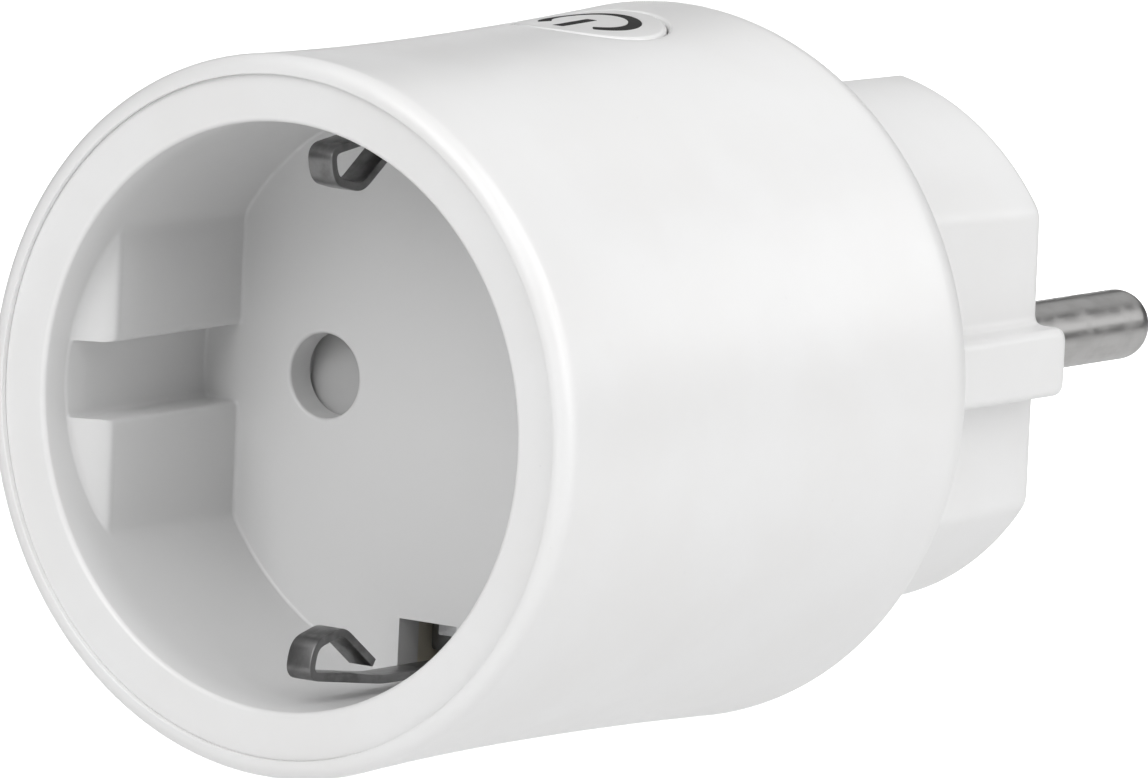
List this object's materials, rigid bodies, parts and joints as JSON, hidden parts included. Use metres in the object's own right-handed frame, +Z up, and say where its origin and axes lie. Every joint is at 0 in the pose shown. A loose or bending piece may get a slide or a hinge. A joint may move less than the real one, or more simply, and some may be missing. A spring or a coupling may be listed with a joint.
{
  "type": "smart plug adapter",
  "caption": "Round white in-line smart plug with an earthed socket recess in front, a round pin plug behind and a flush power button on top.",
  "frame": {"origin": "centre of the plug's mating face, the face that the two pins stand out of", "axes": "+Y along the pins into the wall socket, -Y towards the user, +Z up with the power button on top, +X to the right when looking along +Y"},
  "size_m": [0.0484, 0.0842, 0.0484],
  "materials": {
    "white_plastic": "satin white moulded plastic",
    "symbol_ink": "dark grey moulded inlay",
    "pin_nickel": "nickel-plated turned brass",
    "spring_steel": "nickel-plated spring steel, dull",
    "zinc_steel": "zinc-plated sheet steel",
    "contact_bronze": "phosphor bronze",
    "carrier_plastic": "heat-resistant off-white plastic",
    "shutter_plastic": "light grey plastic",
    "spring_wire": "drawn steel wire",
    "screw_steel": "zinc-plated screws and rivets",
    "board_green": "green solder mask",
    "board_blue": "dark blue solder mask",
    "relay_case": "black moulded case",
    "can_sleeve": "dark blue shrink sleeve",
    "varistor_coat": "blue lacquer",
    "resistor_coat": "pale green cement coat",
    "ferrite": "dark grey ferrite",
    "copper_wire": "enamelled copper wire",
    "film_case": "yellow case",
    "chip_black": "black moulded chip",
    "shield_can": "tinned shield can",
    "gold_plate": "gold-plated copper",
    "led_lens": "clear yellowish LED",
    "switch_black": "black switch body",
    "switch_grey": "grey switch plunger"
  },
  "bodies": {
    "body": {"outer_sleeve": "white_plastic", "socket_insert": "white_plastic", "plug_base": "white_plastic", "plug_pin_left": "pin_nickel", "plug_pin_right": "pin_nickel", "earth_rail_top": "zinc_steel", "earth_rail_bottom": "zinc_steel", "earth_bridge": "zinc_steel", "bridge_rivets": "screw_steel", "contact_carrier": "carrier_plastic", "contact_left": "contact_bronze", "contact_right": "contact_bronze", "carrier_screws": "screw_steel", "shutter_spring": "spring_wire", "switch_body": "switch_black", "status_led": "led_lens", "button_board": "board_green", "button_board_screws": "screw_steel", "button_header": "gold_plate", "main_board": "board_green", "main_board_screws": "screw_steel", "relay": "relay_case", "electrolytic_capacitors": "can_sleeve", "varistor": "varistor_coat", "fuse_resistor": "resistor_coat", "inductor_core": "ferrite", "inductor_winding": "copper_wire", "film_capacitor": "film_case", "rectifier": "chip_black", "regulator": "chip_black", "wifi_board": "board_blue", "wifi_shield": "shield_can", "wifi_antenna": "gold_plate", "wifi_header": "gold_plate"},
    "button": {"power_button": "white_plastic", "power_symbol": "symbol_ink"},
    "plunger": {"switch_plunger": "switch_grey"},
    "shutter": {"shutter": "shutter_plastic"},
    "clip_top": {"earth_clip_top": "spring_steel"},
    "clip_bottom": {"earth_clip_bottom": "spring_steel"}
  },
  "joints": [
    {"name": "button_press", "type": "slide", "parent": "body", "child": "button", "axis": [0, 0, -1], "range_m": [0, 0.00045], "stiffness_N_per_m": 400, "springref_m": -0.001},
    {"name": "plunger_travel", "type": "slide", "parent": "body", "child": "plunger", "axis": [0, 0, -1], "range_m": [0, 0.00045]},
    {"name": "shutter_slide", "type": "slide", "parent": "body", "child": "shutter", "axis": [0, 0, -1], "range_m": [0, 0.006], "stiffness_N_per_m": 60, "springref_m": -0.004, "deforming": ["shutter_spring"]},
    {"name": "clip_top_flex", "type": "hinge", "parent": "body", "child": "clip_top", "pos_m": [0, -0.0437, 0.0162], "axis": [-1, 0, 0], "range_deg": [0, 2.5], "stiffness_Nm_per_rad": 0.3, "springref_deg": -2.86},
    {"name": "clip_bottom_flex", "type": "hinge", "parent": "body", "child": "clip_bottom", "pos_m": [0, -0.0437, -0.0162], "axis": [1, 0, 0], "range_deg": [0, 2.5], "stiffness_Nm_per_rad": 0.3, "springref_deg": -2.86}
  ],
  "couplings": [
    {"joint": "plunger_travel", "follows": "button_press", "ratio": 1}
  ]
}
